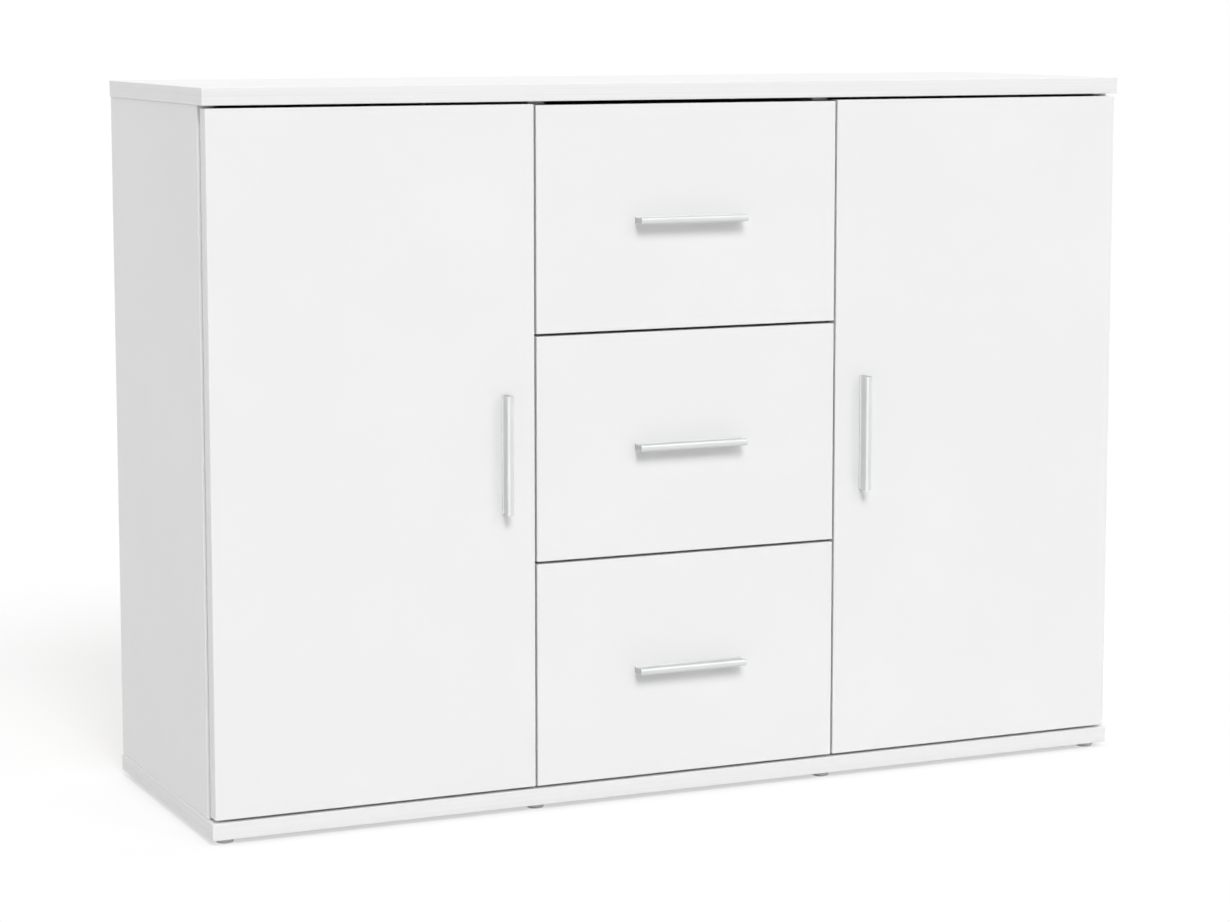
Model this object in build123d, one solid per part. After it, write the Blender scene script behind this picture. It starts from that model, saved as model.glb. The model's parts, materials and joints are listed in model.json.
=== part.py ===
from build123d import *
import os

# Sideboard with two doors and three drawers. Millimetres, +Z up, front towards -Y, floor at Z = 0.

# Overall size
WIDTH = 904
HEIGHT = 650
PANEL_DEPTH = 286
BOARD = 15
EDGE_ROUND = 0.8
SIDE_INSET = 1

# Fronts and the gaps around them
FRONT_SETBACK = 0.5
FRONT_INSET = 2.9
FRONT_GAP = 2
LEVEL_GAP = 2.5
DRAWER_HEADROOM = 3.5
CARCASS_GAP = 2.2
DRAWER_FRONT_WIDTH = 297.2
DRAWER_NAMES = ("bottom", "middle", "top")

# Pulls, one extruded section with a round-ended groove along each flank
PULL_LENGTH = 106
PULL_DEPTH = 14.5
PULL_THICK = 6.2
PULL_NOSE_ROUND = 2.4
PULL_GROOVE_START = 1.4
PULL_GROOVE_END = 11.6
PULL_GROOVE_DEPTH = 0.85
PULL_SCREW_SPACING = 96
PULL_SCREW_BITE = 8
PULL_FROM_DOOR_EDGE = 28.5
PULL_DROP = 2.5

# Glides under the bottom panel
FOOT_HEIGHT = 5
FOOT_RADIUS = 8
FOOT_EDGE_ROUND = 1.6
FOOT_NAIL_RADIUS = 1.2
FOOT_NAIL_LENGTH = 10
FOOT_FROM_EDGE = 15
FOOT_MIDDLE_X = 145.5

# Back board in grooves
BACK_THICK = 3
BACK_FROM_REAR = 10.2
GROOVE_DEPTH = 5
GROOVE_PLAY = 0.2
GROOVE_END_PLAY = 0.5

# Shelves on pins
SHELF_PLAY = 0.5
SHELF_SETBACK = 12
SHELF_REAR_PLAY = 2
SHELF_PIN_RADIUS = 2.5
SHELF_PIN_LENGTH = 16
SHELF_PIN_TIP = 0.4
SHELF_PIN_PITCH = 32
SHELF_PIN_ROWS = 3
SHELF_PIN_FROM_EDGE = 37

# Cam joints and dowels
FIX_FROM_EDGE = 50
DOWEL_STEP = 32
DOWEL_RADIUS = 4
DOWEL_LENGTH = 28
DOWEL_BITE = 10
DOWEL_TIP = 1
CAM_RADIUS = 7.5
CAM_DEPTH = 12.5
CAM_REACH = 34
SMALL_CAM_RADIUS = 6
SMALL_CAM_DEPTH = 9.5
SMALL_CAM_REACH = 24
CAM_SLOT = (1.6, 8, 2)
CAM_POCKET_RADIUS = 3.9
CAM_POCKET_PAST = 3.4
BOLT_THREAD_RADIUS = 3
BOLT_THREAD_LENGTH = 11
BOLT_COLLAR_RADIUS = 3.5
BOLT_NECK_RADIUS = 2.2
BOLT_NECK_LENGTH = 9.5
BOLT_HEAD_HALF = 2.5

# Screws
SCREW_HEAD_RADIUS = 3.5
SCREW_RADIUS = 1.75
SCREW_TIP = 1
CHIPBOARD_SCREW = 13
TRACK_SCREW = 10
BOX_SCREW = 32
PULL_HEAD_RADIUS = 3.9
PULL_HEAD_HEIGHT = 2.2
CROSS_WIDTH = 0.9
CROSS_LENGTH = 3.8
CROSS_DEPTH = 1.5
CONFIRMAT_HEAD_RADIUS = 5
CONFIRMAT_HEAD_HEIGHT = 2.5
CONFIRMAT_COLLAR_RADIUS = 3.5
CONFIRMAT_COLLAR_END = 14
CONFIRMAT_RADIUS = 2.6
CONFIRMAT_LENGTH = 50
HEX_RADIUS = 2.3
HEX_DEPTH = 3

# Cup hinges, in a frame with u inwards from the side panel's outer face and v forwards of its front edge
HINGE_FROM_DOOR_END = 80
CUP_RADIUS = 17.5
CUP_DEPTH = 13.2
CUP_WALL = 0.8
CUP_BOTTOM = 0.7
CUP_FROM_DOOR_EDGE = 3
CUP_RIM = 0.6
FLANGE_THICK = 1.2
FLANGE_SCREW_SPACING = 45
FLANGE_SCREW_OFFSET = 9.5
FLANGE_WING_WIDTH = 14
PIN_FROM_DOOR_EDGE = 6.8
PIN_FROM_DOOR_BACK = 10
PIN_RADIUS = 1.2
PIN_PLAY = 0.05
EYE_RADIUS = 2.1
NECK_WIDTH = 7
NECK_REACH = 13.9
NECK_BEND = 3
ARM_THICK = 2
ARM_WIDTH = 16
ARM_NECK_END = -4
ARM_SHOULDER = -10
ARM_END = -60
ARM_FLANGE = 4
ARM_FLANGE_THICK = 1.5
ARM_SCREW_LINES = (-22, -46)
ARM_SCREW_RADIUS = 3.2
ARM_SCREW_HEAD = 1.4
ARM_SCREW_SLOT = 1
EAR_PLAY = 0.4
EAR_THICK = 1.7
EAR_MARGIN = 2.2
PLATE_THICK = 1.5
PLATE_LINE = -37
PLATE_SCREW_SPACING = 32
PLATE_WING_WIDTH = 13
PLATE_RIDGE_WIDTH = 11.6
PLATE_RIDGE = (-58, -14)

# Drawer boxes
DRAWER_SIDE_THICK = 12
DRAWER_SIDE_HEIGHT = 140
DRAWER_SIDE_LENGTH = 240
DRAWER_SIDE_LIFT = 30
DRAWER_BOTTOM_THICK = 3
DRAWER_BOTTOM_LIFT = 10
BOX_SCREW_HEIGHTS = (45, 110)
BOX_CAM_HEIGHTS = (40, 105)

# Roller runners: w runs from the divider towards the drawer, heights from the channel's floor
RUNNER_SPACE = 12.5
STEEL = 1.2
BEND = 1.3
CHANNEL_WIDTH = 10
CHANNEL_HEIGHT = 18.5
CHANNEL_LENGTH = 245
CHANNEL_SETBACK = 4
ROLLER_RADIUS = 8.7
ROLLER_WIDTH = 6
ROLLER_EDGE = 0.6
AXLE_RADIUS = 2.5
AXLE_PLAY = 0.05
AXLE_HEAD_RADIUS = 3.6
AXLE_HEAD = 0.9
ROLLER_SIDE_PLAY = 0.4
FRONT_ROLLER_W = 2.2
FRONT_ROLLER_INSET = 10
FRONT_ROLLER_HEIGHT = 12.4
FRONT_ROLLER_NOTCH = 20
REAR_ROLLER_W = 3.4
REAR_ROLLER_HEIGHT = 9.1
REAR_ROLLER_FROM_END = 10
TRACK_HEIGHT = 21.5
TRACK_W = 2
TRACK_LIP = 8
TRACK_LENGTH = 244
TRACK_SETBACK = 0.2
TAB_W = 10.6
TAB_HALF_LENGTH = 8
TAB_BOTTOM = 2
RAIL_SCREWS_FROM_FRONT = (70, 175)

# Places worked out from the sizes above
PANEL_FRONT = (PULL_DEPTH - FRONT_SETBACK - PANEL_DEPTH) / 2
PANEL_BACK = PANEL_FRONT + PANEL_DEPTH
FRONT_FACE = PANEL_FRONT + FRONT_SETBACK
FRONT_REAR = FRONT_FACE + BOARD
CARCASS_FRONT = FRONT_REAR + CARCASS_GAP
FLOOR = FOOT_HEIGHT + BOARD
CEILING = HEIGHT - BOARD
FRONT_BOTTOM = FLOOR + LEVEL_GAP
DOOR_TOP = CEILING - LEVEL_GAP
DRAWER_TOP = CEILING - DRAWER_HEADROOM
DRAWER_COUNT = len(DRAWER_NAMES)
DRAWER_FRONT_HEIGHT = (DRAWER_TOP - FRONT_BOTTOM - (DRAWER_COUNT - 1) * LEVEL_GAP) / DRAWER_COUNT
SIDE_OUT = WIDTH / 2 - SIDE_INSET
SIDE_IN = SIDE_OUT - BOARD
SIDE_MID = SIDE_OUT - BOARD / 2
DOOR_OUT = WIDTH / 2 - FRONT_INSET
DRAWER_EDGE = DRAWER_FRONT_WIDTH / 2
DOOR_IN = DRAWER_EDGE + FRONT_GAP
DIVIDER_MID = DRAWER_EDGE - BOARD / 2
DOOR_BAY = DIVIDER_MID + BOARD / 2
DRAWER_BAY = DIVIDER_MID - BOARD / 2
BACK_Y = PANEL_BACK - BACK_FROM_REAR - BACK_THICK
BACK_BITE = GROOVE_DEPTH - GROOVE_END_PLAY
DIVIDER_REAR = BACK_Y - GROOVE_PLAY
FIX_YS = (CARCASS_FRONT + FIX_FROM_EDGE, DIVIDER_REAR - FIX_FROM_EDGE)
DOWEL_YS = (FIX_YS[0] + DOWEL_STEP, FIX_YS[1] - DOWEL_STEP)
SHELF_Z = (FLOOR + CEILING - BOARD) / 2
SHELF_FRONT = CARCASS_FRONT + SHELF_SETBACK
SHELF_REAR = BACK_Y - SHELF_REAR_PLAY
SHELF_PIN_YS = (SHELF_FRONT + SHELF_PIN_FROM_EDGE, SHELF_REAR - SHELF_PIN_FROM_EDGE)
BOX_OUT = DRAWER_BAY - RUNNER_SPACE
BOX_IN = BOX_OUT - DRAWER_SIDE_THICK
BOX_MID = BOX_OUT - DRAWER_SIDE_THICK / 2
BOX_REAR = FRONT_REAR + DRAWER_SIDE_LENGTH
DOOR_EDGE_U = SIDE_OUT - DOOR_OUT
CUP_U = DOOR_EDGE_U + CUP_FROM_DOOR_EDGE + CUP_RADIUS
PIN_U = DOOR_EDGE_U + PIN_FROM_DOOR_EDGE
PIN_V = CARCASS_GAP + PIN_FROM_DOOR_BACK
ARM_U = PIN_U + NECK_REACH
CHANNEL_FRONT = CARCASS_FRONT + CHANNEL_SETBACK
FRONT_ROLLER_Y = CHANNEL_FRONT + FRONT_ROLLER_INSET
TRACK_FRONT = FRONT_REAR + TRACK_SETBACK
TRACK_REAR = TRACK_FRONT + TRACK_LENGTH
REAR_ROLLER_Y = TRACK_REAR - REAR_ROLLER_FROM_END
HINGE_ZS = (FRONT_BOTTOM + HINGE_FROM_DOOR_END, DOOR_TOP - HINGE_FROM_DOOR_END)


# Building blocks


def block(x, y, z):
    """Box between three (low, high) spans."""
    spans = (x, y, z)
    middle = [(low + high) / 2 for low, high in spans]
    return Pos(*middle) * Box(*[high - low for low, high in spans])


def banded(x, y, z):
    """Board with the softly rounded edges that an edge band leaves."""
    board = block(x, y, z)
    return fillet(board.edges(), EDGE_ROUND)


def turned(*outline):
    """Solid turned about Z from an outline of (radius, height) points."""
    start = (0, outline[0][1])
    end = (0, outline[-1][1])
    return revolve(Plane.XZ * make_face(Polyline(start, *outline, end, close=True)), Axis.Z)


def aimed(shape, at, towards):
    """Shape made along +Z, moved to a point and turned to a direction."""
    return Plane(origin=at, z_dir=towards) * shape


def rod(radius, at, towards, length):
    """Cylinder that starts at a point and runs in a direction."""
    return aimed(extrude(Circle(radius), length), at, towards)


def mirrored(shape):
    return mirror(shape, about=Plane.YZ)


def both(shapes):
    """Right-hand shapes, then their left-hand twins."""
    return [*shapes, *(mirrored(shape) for shape in shapes)]


def group(shapes):
    """One node of separate solids."""
    return Compound([solid for shape in shapes for solid in shape.solids()])


# Fasteners, made along +Z with the board's surface at Z = 0


def countersunk_screw(length):
    neck = SCREW_HEAD_RADIUS - SCREW_RADIUS
    return turned(
        (SCREW_HEAD_RADIUS, 0),
        (SCREW_RADIUS, neck),
        (SCREW_RADIUS, length - SCREW_TIP),
        (SCREW_TIP / 2, length),
    )


def pull_screw():
    """Pan-head screw, with the top of its head at Z = 0."""
    length = BOARD + PULL_SCREW_BITE
    return turned(
        (PULL_HEAD_RADIUS, 0),
        (PULL_HEAD_RADIUS, PULL_HEAD_HEIGHT),
        (SCREW_RADIUS, PULL_HEAD_HEIGHT),
        (SCREW_RADIUS, PULL_HEAD_HEIGHT + length),
    )


def confirmat_screw():
    return turned(
        (CONFIRMAT_HEAD_RADIUS, 0),
        (CONFIRMAT_COLLAR_RADIUS, CONFIRMAT_HEAD_HEIGHT),
        (CONFIRMAT_COLLAR_RADIUS, CONFIRMAT_COLLAR_END),
        (CONFIRMAT_RADIUS, CONFIRMAT_COLLAR_END),
        (CONFIRMAT_RADIUS, CONFIRMAT_LENGTH),
    )


def cross_recess():
    arm = Pos(0, 0, CROSS_DEPTH / 2) * Box(CROSS_LENGTH, CROSS_WIDTH, CROSS_DEPTH)
    return arm + Rot(0, 0, 90) * arm


def hex_socket():
    return extrude(RegularPolygon(HEX_RADIUS, 6), HEX_DEPTH)


def recessed(screws, recess):
    """Screws in place, each with a recess for the driver in its head."""
    return [screw - screw.location * recess for screw in screws]


def dowel():
    tip = DOWEL_RADIUS - DOWEL_TIP
    return turned(
        (tip, 0),
        (DOWEL_RADIUS, DOWEL_TIP),
        (DOWEL_RADIUS, DOWEL_LENGTH - DOWEL_TIP),
        (tip, DOWEL_LENGTH),
    )


def cam_bolt(reach):
    """Bolt screwed into the board behind Z = 0, with its head at the cam's centre."""
    head = reach - BOLT_HEAD_HALF
    return turned(
        (BOLT_THREAD_RADIUS, -BOLT_THREAD_LENGTH),
        (BOLT_THREAD_RADIUS, 0),
        (BOLT_COLLAR_RADIUS, 0),
        (BOLT_COLLAR_RADIUS, head - BOLT_NECK_LENGTH),
        (BOLT_NECK_RADIUS, head - BOLT_NECK_LENGTH),
        (BOLT_NECK_RADIUS, head),
        (BOLT_COLLAR_RADIUS, head),
        (BOLT_COLLAR_RADIUS, reach + BOLT_HEAD_HALF),
    )


def cam_disc(radius, depth, axis_depth):
    """Disc let into a face at Z = 0, with a pocket along +X for the bolt's head and a driver slot."""
    disc = extrude(Circle(radius), depth)
    pocket = rod(CAM_POCKET_RADIUS, (-CAM_POCKET_PAST, 0, axis_depth), (1, 0, 0), radius + BOARD)
    slot = Pos(0, 0, CAM_SLOT[2] / 2) * Box(*CAM_SLOT)
    return disc - pocket - slot


class CamJoint:
    """Bolt, cam and bores of one joint: a bolt along an axis, a cam let into a face beside it."""

    def __init__(self, at, along, inwards, reach, radius, depth, axis_depth):
        back = [-part for part in along]
        centre = [p + reach * a - axis_depth * i for p, a, i in zip(at, along, inwards)]
        face = Plane(origin=centre, x_dir=back, z_dir=inwards)
        self.bolt = aimed(cam_bolt(reach), at, along)
        self.cam = face * cam_disc(radius, depth, axis_depth)
        self.bores = [rod(BOLT_COLLAR_RADIUS, at, along, reach), face * extrude(Circle(radius), depth)]


# Carcass, right-hand pieces first


def carcass_cams():
    """Cam joints under the top panel, right half: side panel first, then divider."""
    uprights = ((SIDE_MID, (1, 0, 0)), (DIVIDER_MID, (-1, 0, 0)))
    size = (CAM_REACH, CAM_RADIUS, CAM_DEPTH, BOARD / 2)
    return [
        [CamJoint((x, y, CEILING), (0, 0, -1), inwards, *size) for y in FIX_YS]
        for x, inwards in uprights
    ]


def carcass_dowels(x):
    return [Pos(x, y, CEILING + DOWEL_BITE - DOWEL_LENGTH) * dowel() for y in DOWEL_YS]


def carcass_screws(x):
    return [Pos(x, y, FOOT_HEIGHT) * confirmat_screw() for y in FIX_YS]


def back_groove(x, z):
    return block(x, (BACK_Y - GROOVE_PLAY, BACK_Y + BACK_THICK + GROOVE_PLAY), z)


def top_panel(fittings):
    panel = banded((-WIDTH / 2, WIDTH / 2), (PANEL_FRONT, PANEL_BACK), (CEILING, HEIGHT))
    reach = SIDE_IN + GROOVE_DEPTH
    groove = back_groove((-reach, reach), (CEILING, CEILING + GROOVE_DEPTH))
    return panel - groove - fittings


def bottom_panel(fittings):
    panel = banded((-WIDTH / 2, WIDTH / 2), (PANEL_FRONT, PANEL_BACK), (FOOT_HEIGHT, FLOOR))
    reach = SIDE_IN + GROOVE_DEPTH
    groove = back_groove((-reach, reach), (FLOOR - GROOVE_DEPTH, FLOOR))
    return panel - groove - fittings


def pin_holes(face, inwards):
    """Rows of shelf-pin holes in one face of an upright."""
    middle = SHELF_Z - SHELF_PIN_RADIUS
    steps = [row - (SHELF_PIN_ROWS - 1) / 2 for row in range(SHELF_PIN_ROWS)]
    heights = [middle + step * SHELF_PIN_PITCH for step in steps]
    return [
        rod(SHELF_PIN_RADIUS, (face, y, z), (inwards, 0, 0), SHELF_PIN_LENGTH / 2)
        for y in SHELF_PIN_YS
        for z in heights
    ]


def side_panel(cuts):
    panel = banded((SIDE_IN, SIDE_OUT), (CARCASS_FRONT, PANEL_BACK), (FLOOR, CEILING))
    groove = back_groove((SIDE_IN, SIDE_IN + GROOVE_DEPTH), (FLOOR, CEILING))
    return panel - groove - pin_holes(SIDE_IN, 1) - cuts


def divider(cuts):
    panel = block((DRAWER_BAY, DOOR_BAY), (CARCASS_FRONT, DIVIDER_REAR), (FLOOR, CEILING))
    return panel - pin_holes(DOOR_BAY, -1) - cuts


def back_board():
    reach = SIDE_IN + BACK_BITE
    heights = (FLOOR - BACK_BITE, CEILING + BACK_BITE)
    return block((-reach, reach), (BACK_Y, BACK_Y + BACK_THICK), heights)


def shelf():
    span = (DOOR_BAY + SHELF_PLAY, SIDE_IN - SHELF_PLAY)
    return banded(span, (SHELF_FRONT, SHELF_REAR), (SHELF_Z, SHELF_Z + BOARD))


def shelf_pins():
    """Four pins that carry one shelf, half in the upright and half under the shelf."""
    tip = SHELF_PIN_RADIUS - SHELF_PIN_TIP
    pin = turned(
        (tip, -SHELF_PIN_LENGTH / 2),
        (SHELF_PIN_RADIUS, SHELF_PIN_TIP - SHELF_PIN_LENGTH / 2),
        (SHELF_PIN_RADIUS, SHELF_PIN_LENGTH / 2 - SHELF_PIN_TIP),
        (tip, SHELF_PIN_LENGTH / 2),
    )
    height = SHELF_Z - SHELF_PIN_RADIUS
    return [aimed(pin, (x, y, height), (1, 0, 0)) for x in (DOOR_BAY, SIDE_IN) for y in SHELF_PIN_YS]


def feet():
    """Glides with a moulded-in nail, two rows of two on the right half."""
    glide = turned(
        (FOOT_RADIUS, 0),
        (FOOT_RADIUS, FOOT_HEIGHT),
        (FOOT_NAIL_RADIUS, FOOT_HEIGHT),
        (FOOT_NAIL_RADIUS, FOOT_HEIGHT + FOOT_NAIL_LENGTH),
    )
    glide = fillet(glide.edges().sort_by(Axis.Z)[0], FOOT_EDGE_ROUND)
    rows = (PANEL_FRONT + FOOT_FROM_EDGE, PANEL_BACK - FOOT_FROM_EDGE)
    return [Pos(x, y, 0) * glide for x in (FOOT_MIDDLE_X, WIDTH / 2 - FOOT_FROM_EDGE) for y in rows]


# Pulls


def pull():
    """Extruded pull along X, its flat foot on Y = 0 and its rounded nose towards -Y."""
    section = Pos(PULL_DEPTH / 2, 0) * Rectangle(PULL_DEPTH, PULL_THICK)
    section = fillet(section.vertices().group_by(Axis.X)[-1], PULL_NOSE_ROUND)
    groove = SlotOverall(PULL_GROOVE_END - PULL_GROOVE_START, 2 * PULL_GROOVE_DEPTH)
    groove_mid = (PULL_GROOVE_START + PULL_GROOVE_END) / 2
    section -= [Pos(groove_mid, flank) * groove for flank in (-PULL_THICK / 2, PULL_THICK / 2)]
    end = Plane(origin=(-PULL_LENGTH / 2, 0, 0), x_dir=(0, -1, 0), z_dir=(1, 0, 0))
    return extrude(end * section, PULL_LENGTH)


def pull_and_screws(upright, at):
    """Pull seated on a front at a point, with its two screws from behind."""
    turn = Rot(0, 90, 0) if upright else Rot(0, 0, 0)
    place = Pos(*at) * turn
    offsets = (-PULL_SCREW_SPACING / 2, PULL_SCREW_SPACING / 2)
    head = BOARD + PULL_HEAD_HEIGHT
    screws = [place * aimed(pull_screw(), (x, head, 0), (0, -1, 0)) for x in offsets]
    return place * pull() - screws, screws


# Doors and hinges


def hinge_frames():
    """Frames of the right door's two hinges, with local axes u, v and up."""
    corners = [(SIDE_OUT, CARCASS_FRONT, z) for z in HINGE_ZS]
    return [Plane(origin=corner, x_dir=(-1, 0, 0), z_dir=(0, 0, 1)) for corner in corners]


def cup_bore():
    return rod(CUP_RADIUS, (CUP_U, CARCASS_GAP, 0), (0, 1, 0), CUP_DEPTH)


def cup_screws():
    line = CUP_U + FLANGE_SCREW_OFFSET
    flange_top = CARCASS_GAP - FLANGE_THICK
    screw = countersunk_screw(CHIPBOARD_SCREW)
    heights = (-FLANGE_SCREW_SPACING / 2, FLANGE_SCREW_SPACING / 2)
    return [aimed(screw, (line, flange_top, height), (0, 1, 0)) for height in heights]


def hinge_cup():
    """Pressed cup with its flange, and two ears inside that hold the pin."""
    inner = CUP_RADIUS - CUP_WALL
    top = CARCASS_GAP - FLANGE_THICK
    rim = Pos(CUP_U, 0) * Circle(CUP_RADIUS + CUP_RIM)
    wings = SlotCenterToCenter(FLANGE_SCREW_SPACING, FLANGE_WING_WIDTH, 90)
    wings = Pos(CUP_U + FLANGE_SCREW_OFFSET, 0) * wings
    mouth = Plane(origin=(0, top, 0), x_dir=(1, 0, 0), z_dir=(0, 1, 0))
    flange = extrude(mouth * (rim + wings), FLANGE_THICK)
    hollow = rod(inner, (CUP_U, top, 0), (0, 1, 0), FLANGE_THICK + CUP_DEPTH - CUP_BOTTOM)
    ear_start = NECK_WIDTH / 2 + EAR_PLAY
    ear = block(
        (DOOR_EDGE_U, PIN_U + EAR_MARGIN),
        (PIN_V - EAR_MARGIN, CARCASS_GAP + CUP_DEPTH),
        (ear_start, ear_start + EAR_THICK),
    )
    ears = (ear + mirror(ear, about=Plane.XY)) & cup_bore()
    pin_half = ear_start + EAR_THICK
    pin = rod(PIN_RADIUS, (PIN_U, PIN_V, -pin_half), (0, 0, 1), 2 * pin_half)
    return flange + cup_bore() - hollow + ears + pin - cup_screws()


def arm_screw(line):
    """Slotted head of an adjusting screw, on the arm at a distance along v."""
    seat = ARM_U + ARM_THICK / 2
    head = rod(ARM_SCREW_RADIUS, (seat, line, 0), (1, 0, 0), ARM_SCREW_HEAD)
    rim = seat + ARM_SCREW_HEAD
    half_slot = ARM_SCREW_SLOT / 2
    across_head = (-ARM_SCREW_RADIUS, ARM_SCREW_RADIUS)
    return head - block((rim - half_slot, rim), (line - half_slot, line + half_slot), across_head)


def hinge_arm():
    """Goose-neck arm: an eye round the pin, a neck past the cup's rim, a channel over the plate."""
    path = FilletPolyline((PIN_U, PIN_V), (ARM_U, PIN_V), (ARM_U, ARM_SHOULDER), radius=NECK_BEND)
    neck = extrude(trace(path, ARM_THICK), NECK_WIDTH / 2, both=True)
    eye = Pos(PIN_U, PIN_V, 0) * extrude(Circle(EYE_RADIUS), NECK_WIDTH / 2, both=True)
    half_neck, half_arm = NECK_WIDTH / 2, ARM_WIDTH / 2
    outline = Polyline(
        (ARM_NECK_END, half_neck),
        (ARM_SHOULDER, half_arm),
        (ARM_END, half_arm),
        (ARM_END, -half_arm),
        (ARM_SHOULDER, -half_arm),
        (ARM_NECK_END, -half_neck),
        close=True,
    )
    low = ARM_U - ARM_THICK / 2
    inner_face = Plane(origin=(low, 0, 0), x_dir=(0, 1, 0), z_dir=(1, 0, 0))
    web = extrude(inner_face * make_face(outline), ARM_THICK)
    edge = (half_arm - ARM_FLANGE_THICK, half_arm)
    wall = block((low - ARM_FLANGE, low), (ARM_END, ARM_SHOULDER), edge)
    hole = Pos(PIN_U, PIN_V, 0) * extrude(Circle(PIN_RADIUS + PIN_PLAY), NECK_WIDTH, both=True)
    screws = [arm_screw(line) for line in ARM_SCREW_LINES]
    return neck + eye + web + wall + mirror(wall, about=Plane.XY) + screws - hole


def plate_screws():
    screw = countersunk_screw(CHIPBOARD_SCREW)
    heights = (-PLATE_SCREW_SPACING / 2, PLATE_SCREW_SPACING / 2)
    return [aimed(screw, (BOARD + PLATE_THICK, PLATE_LINE, height), (-1, 0, 0)) for height in heights]


def hinge_plate():
    """Mounting plate on the side panel: two screwed wings and a ridge that the arm clips over."""
    face = Plane(origin=(BOARD, PLATE_LINE, 0), x_dir=(0, 1, 0), z_dir=(1, 0, 0))
    outline = SlotCenterToCenter(PLATE_SCREW_SPACING, PLATE_WING_WIDTH, 90)
    wings = extrude(face * outline, PLATE_THICK)
    half = PLATE_RIDGE_WIDTH / 2
    ridge = block((BOARD, ARM_U - ARM_THICK / 2), PLATE_RIDGE, (-half, half))
    ridge = fillet(ridge.edges().filter_by(Axis.X), half / 2)
    return wings + ridge - plate_screws()


def on_right_door(make):
    """One hinge piece, or a list of them, at both heights of the right door."""
    made = make()
    shapes = made if isinstance(made, list) else [made]
    return [frame * shape for frame in hinge_frames() for shape in shapes]


def door():
    """Right door with its bores, its pull and its screws."""
    panel = banded((DOOR_IN, DOOR_OUT), (FRONT_FACE, FRONT_REAR), (FRONT_BOTTOM, DOOR_TOP))
    middle = (FRONT_BOTTOM + DOOR_TOP) / 2 - PULL_DROP
    handle, screws = pull_and_screws(True, (DOOR_IN + PULL_FROM_DOOR_EDGE, FRONT_FACE, middle))
    screws += on_right_door(cup_screws)
    panel = panel - on_right_door(cup_bore) - screws
    return panel, handle, recessed(screws, cross_recess())


# Drawers and runners


def across(start, end):
    """Span of X between two distances from the right divider's face."""
    return (DRAWER_BAY - end, DRAWER_BAY - start)


def drawer_bottom_z(number):
    return FRONT_BOTTOM + number * (DRAWER_FRONT_HEIGHT + LEVEL_GAP)


def side_bottom_z(number):
    return drawer_bottom_z(number) + DRAWER_SIDE_LIFT


def channel_floor_z(number):
    return side_bottom_z(number) - TRACK_HEIGHT - STEEL


def channel_screws(number):
    height = channel_floor_z(number) + CHANNEL_HEIGHT / 2
    screw = countersunk_screw(CHIPBOARD_SCREW)
    places = [(DRAWER_BAY - STEEL, CHANNEL_FRONT + y, height) for y in RAIL_SCREWS_FROM_FRONT]
    return [aimed(screw, place, (1, 0, 0)) for place in places]


def rolled(path, start, length, number):
    """Steel strip rolled to a path of (w, height) and running back from a distance along Y."""
    corner = (DRAWER_BAY, start, channel_floor_z(number))
    end = Plane(origin=corner, x_dir=(-1, 0, 0), z_dir=(0, 1, 0))
    return extrude(end * trace(path, STEEL), length)


def cabinet_rail(number):
    """Rolled channel on the right divider, with a riveted axle for the roller at its front end."""
    floor = channel_floor_z(number)
    half = STEEL / 2
    path = FilletPolyline(
        (CHANNEL_WIDTH, -half),
        (half, -half),
        (half, CHANNEL_HEIGHT + half),
        (CHANNEL_WIDTH, CHANNEL_HEIGHT + half),
        radius=BEND,
    )
    channel = rolled(path, CHANNEL_FRONT, CHANNEL_LENGTH, number)
    notch = block(
        across(STEEL, CHANNEL_WIDTH),
        (CHANNEL_FRONT, CHANNEL_FRONT + FRONT_ROLLER_NOTCH),
        (floor + FRONT_ROLLER_HEIGHT, floor + TRACK_HEIGHT),
    )
    return channel - notch + front_axle(number) - channel_screws(number)


def front_axle(number):
    centre = (FRONT_ROLLER_Y, channel_floor_z(number) + FRONT_ROLLER_HEIGHT)
    head = FRONT_ROLLER_W + ROLLER_WIDTH + ROLLER_SIDE_PLAY
    stem = rod(AXLE_RADIUS, (DRAWER_BAY - STEEL, *centre), (-1, 0, 0), head - STEEL)
    return stem + rod(AXLE_HEAD_RADIUS, (DRAWER_BAY - head, *centre), (-1, 0, 0), AXLE_HEAD)


def roller(start, y, z):
    """Nylon roller whose outer side is a distance from the right divider's face."""
    wheel = extrude(Circle(ROLLER_RADIUS), ROLLER_WIDTH)
    wheel = chamfer(wheel.edges(), ROLLER_EDGE) - extrude(Circle(AXLE_RADIUS + AXLE_PLAY), ROLLER_WIDTH)
    return aimed(wheel, (DRAWER_BAY - start, y, z), (-1, 0, 0))


def track_screws(number):
    """Screws up through the drawer's rail into the lower edge of its side."""
    screw = countersunk_screw(TRACK_SCREW)
    height = side_bottom_z(number) - STEEL
    return [Pos(BOX_MID, TRACK_FRONT + y, height) * screw for y in RAIL_SCREWS_FROM_FRONT]


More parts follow.
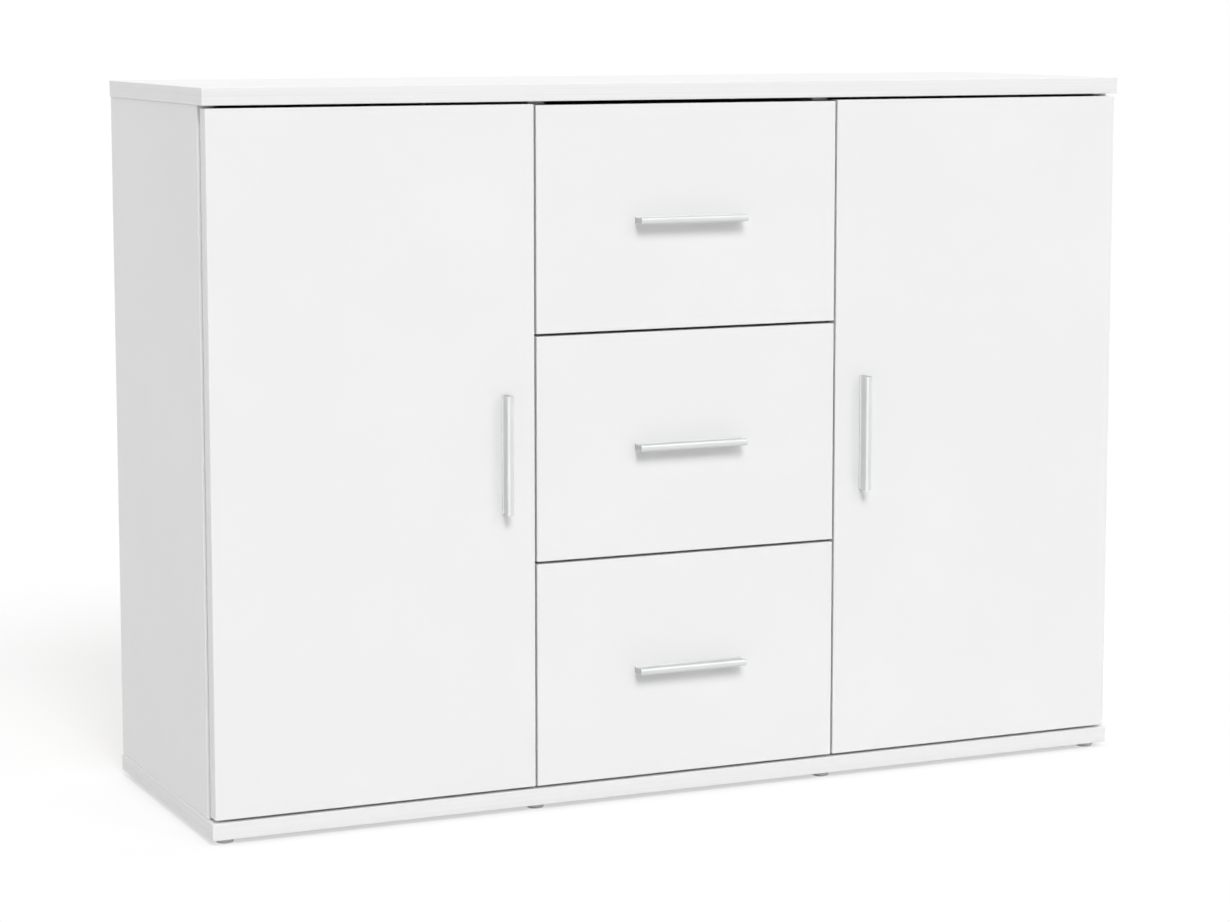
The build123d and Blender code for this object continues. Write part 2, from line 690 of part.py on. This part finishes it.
def drawer_rail(number):
    """Angle under the right drawer side: the track, its lip, and a tab with the rear roller's axle."""
    floor = channel_floor_z(number)
    half = STEEL / 2
    path = FilletPolyline(
        (TRACK_W + half, TRACK_HEIGHT + TRACK_LIP),
        (TRACK_W + half, TRACK_HEIGHT + half),
        (RUNNER_SPACE + DRAWER_SIDE_THICK, TRACK_HEIGHT + half),
        radius=BEND,
    )
    track = rolled(path, TRACK_FRONT, TRACK_LENGTH, number)
    tab = block(
        across(TAB_W, TAB_W + STEEL),
        (REAR_ROLLER_Y - TAB_HALF_LENGTH, REAR_ROLLER_Y + TAB_HALF_LENGTH),
        (floor + TAB_BOTTOM, floor + TRACK_HEIGHT),
    )
    centre = (REAR_ROLLER_Y, floor + REAR_ROLLER_HEIGHT)
    tip = REAR_ROLLER_W - ROLLER_SIDE_PLAY
    stem = rod(AXLE_RADIUS, (DRAWER_BAY - tip, *centre), (-1, 0, 0), TAB_W - tip)
    head = rod(AXLE_HEAD_RADIUS, (DRAWER_BAY - tip, *centre), (1, 0, 0), AXLE_HEAD)
    return track + tab + stem + head - track_screws(number)


def box_cams(number):
    """Cam joints between the right drawer side and the drawer front."""
    size = (SMALL_CAM_REACH, SMALL_CAM_RADIUS, SMALL_CAM_DEPTH, DRAWER_SIDE_THICK / 2)
    places = [(BOX_MID, FRONT_REAR, side_bottom_z(number) + z) for z in BOX_CAM_HEIGHTS]
    return [CamJoint(place, (0, 1, 0), (1, 0, 0), *size) for place in places]


def box_screws(number):
    """Screws through the right drawer side into the end of the drawer's back."""
    y = BOX_REAR - DRAWER_SIDE_THICK / 2
    screw = countersunk_screw(BOX_SCREW)
    heights = [side_bottom_z(number) + z for z in BOX_SCREW_HEIGHTS]
    return [aimed(screw, (BOX_OUT, y, z), (-1, 0, 0)) for z in heights]


def bottom_groove(number, reach):
    """Groove for the drawer's thin bottom, open to the rear."""
    low = side_bottom_z(number) + DRAWER_BOTTOM_LIFT
    return block(
        (-reach, reach),
        (FRONT_REAR - GROOVE_DEPTH, BOX_REAR),
        (low - GROOVE_PLAY, low + DRAWER_BOTTOM_THICK + GROOVE_PLAY),
    )


def drawer(number):
    """Named pieces of one drawer, closed."""
    low = side_bottom_z(number)
    heights = (low, low + DRAWER_SIDE_HEIGHT)
    floor = low + DRAWER_BOTTOM_LIFT
    front_bottom = drawer_bottom_z(number)
    middle = front_bottom + DRAWER_FRONT_HEIGHT / 2 - PULL_DROP
    handle, pull_screws = pull_and_screws(False, (0, FRONT_FACE, middle))
    cams = box_cams(number)
    bolts = both([joint.bolt for joint in cams])
    groove = bottom_groove(number, BOX_IN + GROOVE_DEPTH)
    front_heights = (front_bottom, front_bottom + DRAWER_FRONT_HEIGHT)
    front = banded((-DRAWER_EDGE, DRAWER_EDGE), (FRONT_FACE, FRONT_REAR), front_heights)
    side_screws = box_screws(number) + track_screws(number)
    side_cuts = side_screws + [bore for joint in cams for bore in joint.bores]
    right_side = block((BOX_IN, BOX_OUT), (FRONT_REAR, BOX_REAR), heights) - groove - side_cuts
    back = block(
        (-BOX_IN, BOX_IN),
        (BOX_REAR - DRAWER_SIDE_THICK, BOX_REAR),
        (floor + DRAWER_BOTTOM_THICK + GROOVE_PLAY, heights[1]),
    )
    reach = BOX_IN + BACK_BITE
    floor_span = (floor, floor + DRAWER_BOTTOM_THICK)
    bottom = block((-reach, reach), (FRONT_REAR - BACK_BITE, BOX_REAR), floor_span)
    recess = cross_recess()
    side_fittings = recessed(side_screws, recess) + [joint.cam for joint in cams]
    return {
        "front": front - groove - pull_screws - bolts,
        "left_side": mirrored(right_side),
        "right_side": right_side,
        "back": back - both(box_screws(number)),
        "bottom": bottom,
        "handle": handle,
        "rails": group(both([drawer_rail(number)])),
        "fasteners": group(recessed(pull_screws, recess) + bolts + both(side_fittings)),
    }


def runner_nodes(number, name):
    """Cabinet rails and rollers of one drawer, with the drawer closed."""
    floor = channel_floor_z(number)
    front = roller(FRONT_ROLLER_W, FRONT_ROLLER_Y, floor + FRONT_ROLLER_HEIGHT)
    rear = roller(REAR_ROLLER_W, REAR_ROLLER_Y, floor + REAR_ROLLER_HEIGHT)
    return {
        f"{name}_cabinet_rails": group(both([cabinet_rail(number)])),
        f"{name}_front_rollers": group(both([front])),
        f"{name}_rear_rollers": group(both([rear])),
    }


# The whole assembly


def carcass_nodes():
    side_cams, divider_cams = carcass_cams()
    cams = side_cams + divider_cams
    bolts = both([joint.bolt for joint in cams])
    dowels = carcass_dowels(SIDE_MID) + carcass_dowels(DIVIDER_MID)
    confirmats = carcass_screws(SIDE_MID) + carcass_screws(DIVIDER_MID)
    rail_screws = [screw for number in range(DRAWER_COUNT) for screw in channel_screws(number)]
    side_cuts = carcass_dowels(SIDE_MID) + carcass_screws(SIDE_MID) + on_right_door(plate_screws)
    side_cuts += [bore for joint in side_cams for bore in joint.bores]
    divider_cuts = carcass_dowels(DIVIDER_MID) + carcass_screws(DIVIDER_MID) + rail_screws
    divider_cuts += [bore for joint in divider_cams for bore in joint.bores]
    right_side = side_panel(side_cuts)
    right_divider = divider(divider_cuts)
    short_screws = recessed(on_right_door(plate_screws) + rail_screws, cross_recess())
    return {
        "top_panel": top_panel(bolts + both(dowels)),
        "bottom_panel": bottom_panel(both(confirmats + feet())),
        "left_side_panel": mirrored(right_side),
        "right_side_panel": right_side,
        "left_divider": mirrored(right_divider),
        "right_divider": right_divider,
        "back_board": back_board(),
        "left_shelf": mirrored(shelf()),
        "right_shelf": shelf(),
        "shelf_pins": group(both(shelf_pins())),
        "feet": group(both(feet())),
        "cam_discs": group(both([joint.cam for joint in cams])),
        "cam_bolts": group(bolts),
        "wooden_dowels": group(both(dowels)),
        "confirmat_screws": group(both(recessed(confirmats, hex_socket()))),
        "hinge_arms": group(both(on_right_door(hinge_arm))),
        "hinge_plates": group(both(on_right_door(hinge_plate))),
        "chipboard_screws": group(both(short_screws)),
    }


def door_nodes():
    panel, handle, screws = door()
    cups = group(on_right_door(hinge_cup))
    right = {"door": panel, "door_handle": handle, "door_fasteners": group(screws), "hinge_cups": cups}
    nodes = {f"right_{name}": shape for name, shape in right.items()}
    nodes |= {f"left_{name}": mirrored(shape) for name, shape in right.items()}
    return nodes


def sideboard():
    nodes = carcass_nodes() | door_nodes()
    for number, name in enumerate(DRAWER_NAMES):
        nodes |= {f"{name}_drawer_{piece}": shape for piece, shape in drawer(number).items()}
        nodes |= runner_nodes(number, name)
    return nodes


os.makedirs("parts", exist_ok=True)
for node, shape in sideboard().items():
    export_step(group([shape]), f"parts/{node}.step")
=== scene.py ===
import json
import math

import bpy
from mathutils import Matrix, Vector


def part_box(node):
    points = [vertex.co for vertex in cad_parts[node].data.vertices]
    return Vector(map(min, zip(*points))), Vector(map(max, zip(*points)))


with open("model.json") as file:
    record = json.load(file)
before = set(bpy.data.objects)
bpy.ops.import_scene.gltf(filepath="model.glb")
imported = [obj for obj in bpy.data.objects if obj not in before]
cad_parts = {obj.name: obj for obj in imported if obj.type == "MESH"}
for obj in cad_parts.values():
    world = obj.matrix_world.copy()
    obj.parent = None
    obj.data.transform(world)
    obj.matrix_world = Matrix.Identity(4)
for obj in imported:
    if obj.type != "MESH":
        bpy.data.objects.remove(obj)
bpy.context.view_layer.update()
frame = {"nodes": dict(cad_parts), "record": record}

# Sideboard with two doors and three drawers: finishes, studio and camera. Metres, front towards -Y.

X, Y, Z = range(3)
AXIS_NAMES = "xyz"

# Camera, fitted to the panel corners in the photograph
CAMERA_AT = (-1.2351, -2.7026, 0.7197)
CAMERA_YAW = math.radians(24.362)
CAMERA_PITCH = math.radians(6.886)
CAMERA_LENS = 92.938
CAMERA_SHIFT_Y = -0.06

# Lamps, angles in degrees: key and fill light the object, and all but the fill show in its highlights
LAMPS = (
    dict(name="key_lamp", azimuth=-8, elevation=42, spread=24, strength=1.78, matt=True, gloss=True),
    dict(name="fill_lamp", azimuth=32, elevation=29, spread=30, strength=0.62, matt=True, gloss=False),
    dict(name="left_strip", azimuth=-42, elevation=4, spread=50, strength=1.0, matt=False, gloss=True),
    dict(name="right_strip", azimuth=86, elevation=4, spread=55, strength=1.15, matt=False, gloss=True),
)

# Sky that looks white and lights the object less from the front, over a range of a direction's Y
SKY_LEVEL = 0.80
SKY_FRONT_LEVEL = 0.02
SKY_FADE = (-0.5, 0.0)
SKY_SEEN = 1.0

# Floor: half its width, its level for light on the object, and its level and glow for the eye
FLOOR_HALF = 200
FLOOR_BOUNCE = 0.78
FLOOR_SEEN = 0.45
FLOOR_GLOW = 0.56

# Tones of the finishes, as levels of grey or as colours
WHITE = (1.0, 1.0, 1.0, 1)
BOARD_LEVELS = (0.868, 0.886)
BAND_SHADE = 0.965
LACQUER_LEVELS = (0.83, 0.85)
HARDBOARD_DARK = (0.225, 0.128, 0.064, 1)
HARDBOARD_LIGHT = (0.36, 0.225, 0.122, 1)
ALUMINIUM_DARK = (0.648, 0.660, 0.662, 1)
ALUMINIUM_LIGHT = (0.727, 0.740, 0.742, 1)
ALUMINIUM_EDGE_TINT = 0.90
# Painted shade: the share of the aluminium's tone that the pulls' end faces keep
PAINTED_END_SHADE = 0.75
NICKEL_DARK = (0.56, 0.545, 0.52, 1)
NICKEL_LIGHT = (0.68, 0.665, 0.64, 1)
ZINC_DARK = (0.50, 0.515, 0.54, 1)
ZINC_LIGHT = (0.66, 0.675, 0.70, 1)
POWDER_LEVELS = (0.80, 0.83)
NYLON_LEVELS = (0.76, 0.80)
GLIDE_LEVELS = (0.68, 0.76)
BEECH_DARK = (0.42, 0.24, 0.11, 1)
BEECH_LIGHT = (0.62, 0.42, 0.24, 1)

# Range of roughness of each finish
BOARD_ROUGHNESS = (0.36, 0.44)
HARDBOARD_ROUGHNESS = (0.45, 0.6)
ALUMINIUM_ROUGHNESS = (0.40, 0.50)
NICKEL_ROUGHNESS = (0.2, 0.3)
ZINC_ROUGHNESS = (0.28, 0.4)
POWDER_ROUGHNESS = (0.3, 0.4)
NYLON_ROUGHNESS = (0.4, 0.5)
GLIDE_ROUGHNESS = (0.5, 0.6)
BEECH_ROUGHNESS = (0.55, 0.7)

# Strength of the board's gloss, where one half is the usual
BOARD_SPECULAR = 0.45

# Noise: fineness of the grain in the roughness, and the range that most of a noise value keeps to
GRAIN_SCALE = 60
NOISE_RANGE = (0.3, 0.7)

# Share of fine fibres in the hardboard's mottle, the rest being clouds
FIBRE_SHARE = 0.65

# Part of a normal along an axis from which a surface counts as facing that way
FACE_ON = 0.7

# A count of bounces below this is none
HALF_BOUNCE = 0.5

# Sockets of a mix node that carry colours
MIX_FIRST = 6
MIX_SECOND = 7
MIX_RESULT = 2


def grey(level):
    return (level, level, level, 1)


def shaded(colour, share):
    """A colour darkened to a share of itself."""
    red, green, blue, alpha = colour
    return (red * share, green * share, blue * share, alpha)


def stretched(axis, on_axis, elsewhere):
    """Noise stretch with one value on an axis and another on the other two."""
    return tuple(on_axis if number == axis else elsewhere for number in (X, Y, Z))


# Nodes


def put(tree, value, socket):
    """A node's output joined to a socket, or a number or colour set on it."""
    if isinstance(value, bpy.types.NodeSocket):
        tree.links.new(value, socket)
    else:
        socket.default_value = value


def put_all(tree, values, node):
    """Values on a node's sockets by name, with underscores for spaces."""
    for name, value in values.items():
        put(tree, value, node.inputs[name.replace("_", " ")])


def add(tree, kind, **values):
    node = tree.nodes.new(kind)
    put_all(tree, values, node)
    return node


def maths(tree, operation, *values):
    """A sum on one or two values, each a number or a node's output."""
    node = add(tree, "ShaderNodeMath")
    node.operation = operation
    for value, socket in zip(values, node.inputs):
        put(tree, value, socket)
    return node.outputs["Value"]


def mapped(tree, value, old, new):
    """A value carried from an old range to a new one and kept inside it."""
    node = add(tree, "ShaderNodeMapRange", Value=value, From_Min=old[0], From_Max=old[1],
               To_Min=new[0], To_Max=new[1])
    return node.outputs["Result"]


class Finish:
    """One material's node tree, with short calls for the nodes that repeat."""

    def __init__(self, name, roughness, metallic=0.0):
        self.material = bpy.data.materials.new(name)
        self.material.use_nodes = True
        self.tree = self.material.node_tree
        self.place = add(self.tree, "ShaderNodeTexCoord")
        self.relief = None
        grain = self.noise(scale=GRAIN_SCALE, detail=2)
        self.set(Metallic=metallic, Roughness=mapped(self.tree, grain, NOISE_RANGE, roughness))

    def set(self, **values):
        """Numbers, colours or node outputs on the shader's own sockets."""
        put_all(self.tree, values, self.tree.nodes["Principled BSDF"])

    def noise(self, scale, stretch=(1, 1, 1), detail=3, rough=0.5):
        """Noise in the object's own metres, finer along an axis with a larger stretch."""
        place = add(self.tree, "ShaderNodeMapping", Vector=self.place.outputs["Object"], Scale=stretch)
        texture = add(self.tree, "ShaderNodeTexNoise", Vector=place.outputs["Vector"], Scale=scale,
                      Detail=detail, Roughness=rough)
        return texture.outputs["Fac"]

    def between(self, factor, first, second):
        """Colour mixed from the first to the second, each a colour or a node's output."""
        node = add(self.tree, "ShaderNodeMix", Factor=factor)
        node.data_type = "RGBA"
        put(self.tree, first, node.inputs[MIX_FIRST])
        put(self.tree, second, node.inputs[MIX_SECOND])
        return node.outputs[MIX_RESULT]

    def mottle(self, noise, dark, light):
        """Colour that a noise value varies from dark to light."""
        return self.between(mapped(self.tree, noise, NOISE_RANGE, (0, 1)), dark, light)

    def normal(self, axis):
        """The surface normal's part along one axis of the object."""
        split = add(self.tree, "ShaderNodeSeparateXYZ", Vector=self.place.outputs["Normal"])
        return split.outputs[axis]

    def faces(self, axis):
        """One where the surface faces along an axis, either way, and nought elsewhere."""
        size = maths(self.tree, "ABSOLUTE", self.normal(axis))
        return maths(self.tree, "GREATER_THAN", size, FACE_ON)

    def faces_to(self, axis, side):
        """One where the surface faces along an axis to one side, and nought elsewhere."""
        towards = maths(self.tree, "MULTIPLY", self.normal(axis), side)
        return maths(self.tree, "GREATER_THAN", towards, FACE_ON)

    def bump(self, height, depth, strength):
        """Relief of a depth in metres, laid over any relief added before."""
        node = add(self.tree, "ShaderNodeBump", Height=height, Distance=depth, Strength=strength)
        if self.relief is not None:
            put(self.tree, self.relief, node.inputs["Normal"])
        self.relief = node.outputs["Normal"]
        self.set(Normal=self.relief)


# Boards


def melamine(name, thin):
    """White melamine board, with an edge band that shows faint drawn lines along its edges."""
    finish = Finish(name, BOARD_ROUGHNESS)
    dark, light = BOARD_LEVELS
    face = finish.mottle(finish.noise(scale=7), grey(dark), grey(light))
    lines = finish.noise(scale=1, stretch=stretched(thin, on_axis=1400, elsewhere=3), detail=2)
    band = finish.mottle(lines, grey(dark * BAND_SHADE), grey(light))
    finish.set(Base_Color=finish.between(finish.faces(thin), band, face))
    finish.bump(finish.noise(scale=1700, detail=1), depth=0.000012, strength=0.6)
    finish.bump(finish.noise(scale=160, detail=2), depth=0.00003, strength=0.5)
    finish.set(Specular_IOR_Level=BOARD_SPECULAR)
    return finish.material


def hardboard(name, white_axis, white_side):
    """Thin hardboard, lacquered white on the face that shows inside and plain brown fibre behind."""
    finish = Finish(name, HARDBOARD_ROUGHNESS)
    lacquer = finish.mottle(finish.noise(scale=9), *map(grey, LACQUER_LEVELS))
    fibres = finish.noise(scale=420, detail=6, rough=0.7)
    clouds = finish.noise(scale=14, detail=4)
    fibre_part = maths(finish.tree, "MULTIPLY", fibres, FIBRE_SHARE)
    cloud_part = maths(finish.tree, "MULTIPLY", clouds, 1 - FIBRE_SHARE)
    mixed = maths(finish.tree, "ADD", fibre_part, cloud_part)
    brown = finish.mottle(mixed, HARDBOARD_DARK, HARDBOARD_LIGHT)
    finish.set(Base_Color=finish.between(finish.faces_to(white_axis, white_side), brown, lacquer))
    finish.bump(fibres, depth=0.00006, strength=0.5)
    return finish.material


# Metals


def brushed_aluminium(name, long):
    """Satin anodised aluminium with fine drawn lines along the pull, and painted shade that darkens its
    end faces.
    """
    finish = Finish(name, ALUMINIUM_ROUGHNESS, metallic=1.0)
    tones = (ALUMINIUM_DARK, ALUMINIUM_LIGHT)
    lines = finish.noise(scale=1, stretch=stretched(long, on_axis=14, elsewhere=2600))
    drawn = finish.mottle(lines, *tones)
    # Painted shade: the end faces take darker copies of the aluminium's tones
    painted_end_tones = finish.mottle(finish.noise(scale=900), *[shaded(tone, PAINTED_END_SHADE) for tone in tones])
    finish.set(Base_Color=finish.between(finish.faces(long), drawn, painted_end_tones))
    finish.bump(lines, depth=0.000015, strength=0.6)
    finish.set(Specular_Tint=grey(ALUMINIUM_EDGE_TINT))
    return finish.material


def plated(name, dark, light, roughness):
    """Plated steel with a faint cloudy tarnish and fine scratches."""
    finish = Finish(name, roughness, metallic=1.0)
    finish.set(Base_Color=finish.mottle(finish.noise(scale=220, detail=4), dark, light))
    scratches = finish.noise(scale=900, stretch=stretched(Y, on_axis=6, elsewhere=1), detail=2)
    finish.bump(scratches, depth=0.00001, strength=0.5)
    return finish.material


def powder_coat(name):
    """White powder-coated steel with a light orange peel."""
    finish = Finish(name, POWDER_ROUGHNESS)
    finish.set(Base_Color=finish.mottle(finish.noise(scale=30), *map(grey, POWDER_LEVELS)))
    finish.bump(finish.noise(scale=500, detail=2), depth=0.00003, strength=0.6)
    return finish.material


# Plastics and wood


def moulded(name, levels, roughness, texture_scale, depth):
    """Moulded plastic with a spark-eroded surface."""
    finish = Finish(name, roughness)
    finish.set(Base_Color=finish.mottle(finish.noise(scale=90), *map(grey, levels)))
    finish.bump(finish.noise(scale=texture_scale, detail=2), depth=depth, strength=0.7)
    return finish.material


def beech(name):
    """Unfinished beech with its grain along the dowel."""
    finish = Finish(name, BEECH_ROUGHNESS)
    grain = finish.noise(scale=700, stretch=stretched(Z, on_axis=0.06, elsewhere=1), detail=4)
    finish.set(Base_Color=finish.mottle(grain, BEECH_DARK, BEECH_LIGHT))
    finish.bump(grain, depth=0.00005, strength=0.6)
    return finish.material


# Finishes of the nodes


def spans(node):
    low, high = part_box(node)
    return [end - start for start, end in zip(low, high)]


def thin_axis(node):
    sizes = spans(node)
    return sizes.index(min(sizes))


def long_axis(node):
    sizes = spans(node)
    return sizes.index(max(sizes))


def finishes():
    """Material of every node, by the record's slot and by the way the piece lies."""
    boards = [melamine(f"white_board_{axis}", number) for number, axis in enumerate(AXIS_NAMES)]
    pulls = [brushed_aluminium(f"satin_aluminium_{axis}", number)
             for number, axis in enumerate(AXIS_NAMES)]
    hardboards = {
        Y: hardboard("hardboard_back", white_axis=Y, white_side=-1),
        Z: hardboard("hardboard_bottom", white_axis=Z, white_side=1),
    }
    plain = {
        "nickel_steel": plated("nickel_steel", NICKEL_DARK, NICKEL_LIGHT, NICKEL_ROUGHNESS),
        "zinc_fitting": plated("zinc_fitting", ZINC_DARK, ZINC_LIGHT, ZINC_ROUGHNESS),
        "white_steel": powder_coat("white_steel"),
        "white_nylon": moulded("white_nylon", NYLON_LEVELS, NYLON_ROUGHNESS,
                               texture_scale=800, depth=0.00002),
        "grey_glide": moulded("grey_glide", GLIDE_LEVELS, GLIDE_ROUGHNESS,
                              texture_scale=1100, depth=0.00004),
        "beech_dowel": beech("beech_dowel"),
    }
    chosen = {}
    for row in frame["record"]["subparts"]:
        node, slot = row["node"], row["material_slot"]
        if slot == "white_board":
            chosen[node] = boards[thin_axis(node)]
        elif slot == "satin_aluminium":
            chosen[node] = pulls[long_axis(node)]
        elif slot == "white_hardboard":
            chosen[node] = hardboards[thin_axis(node)]
        else:
            chosen[node] = plain[slot]
    return chosen


def dress_nodes():
    for node, material in finishes().items():
        for slot in frame["nodes"][node].material_slots:
            slot.material = material


# Studio


def by_eye(tree, hidden_level, seen_level):
    """One level for light on matt surfaces, another for what the camera sees, also in metal or glass."""
    path = add(tree, "ShaderNodeLightPath").outputs
    direct = maths(tree, "MAXIMUM", path["Is Camera Ray"], path["Is Glossy Ray"])
    direct = maths(tree, "MAXIMUM", direct, path["Is Transmission Ray"])
    before_matt = maths(tree, "LESS_THAN", path["Diffuse Depth"], HALF_BOUNCE)
    seen = maths(tree, "MULTIPLY", direct, before_matt)
    return mapped(tree, seen, (0, 1), (hidden_level, seen_level))


def sky():
    world = bpy.data.worlds.new("studio_sky")
    world.use_nodes = True
    tree = world.node_tree
    direction = add(tree, "ShaderNodeTexCoord")
    split = add(tree, "ShaderNodeSeparateXYZ", Vector=direction.outputs["Generated"])
    fade = mapped(tree, split.outputs["Y"], SKY_FADE, (SKY_FRONT_LEVEL, SKY_LEVEL))
    background = tree.nodes["Background"]
    put(tree, WHITE, background.inputs["Color"])
    put(tree, by_eye(tree, fade, SKY_SEEN), background.inputs["Strength"])
    bpy.context.scene.world = world


def studio_floor():
    """Pale floor that fades into the white sky and keeps the soft shadow."""
    mesh = bpy.data.meshes.new("studio_floor")
    corners = [(-FLOOR_HALF, -FLOOR_HALF, 0), (FLOOR_HALF, -FLOOR_HALF, 0),
               (FLOOR_HALF, FLOOR_HALF, 0), (-FLOOR_HALF, FLOOR_HALF, 0)]
    mesh.from_pydata(corners, [], [(0, 1, 2, 3)])
    floor = bpy.data.objects.new("studio_floor", mesh)
    bpy.context.scene.collection.objects.link(floor)
    material = bpy.data.materials.new("studio_floor")
    material.use_nodes = True
    tree = material.node_tree
    shader = tree.nodes["Principled BSDF"]
    put_all(tree, dict(Roughness=1.0, Specular_IOR_Level=0.0, Emission_Color=WHITE), shader)
    put(tree, by_eye(tree, FLOOR_BOUNCE, FLOOR_SEEN), shader.inputs["Base Color"])
    put(tree, by_eye(tree, 0.0, FLOOR_GLOW), shader.inputs["Emission Strength"])
    mesh.materials.append(material)


def soft_lamp(name, azimuth, elevation, spread, strength, matt, gloss):
    """A far lamp of an apparent width, with an azimuth that grows from the front towards the right."""
    lamp = bpy.data.lights.new(name, "SUN")
    lamp.angle = math.radians(spread)
    lamp.energy = strength
    holder = bpy.data.objects.new(name, lamp)
    holder.rotation_euler = (math.pi / 2 - math.radians(elevation), 0, math.radians(azimuth))
    holder.visible_diffuse = matt
    holder.visible_glossy = gloss
    bpy.context.scene.collection.objects.link(holder)


def camera():
    data = bpy.data.cameras.new("camera")
    data.lens = CAMERA_LENS
    data.shift_y = CAMERA_SHIFT_Y
    holder = bpy.data.objects.new("camera", data)
    holder.location = CAMERA_AT
    holder.rotation_euler = (math.pi / 2 - CAMERA_PITCH, 0, -CAMERA_YAW)
    bpy.context.scene.collection.objects.link(holder)
    bpy.context.scene.camera = holder


dress_nodes()
sky()
studio_floor()
for lamp in LAMPS:
    soft_lamp(**lamp)
camera()
bpy.context.scene.view_settings.view_transform = "Standard"
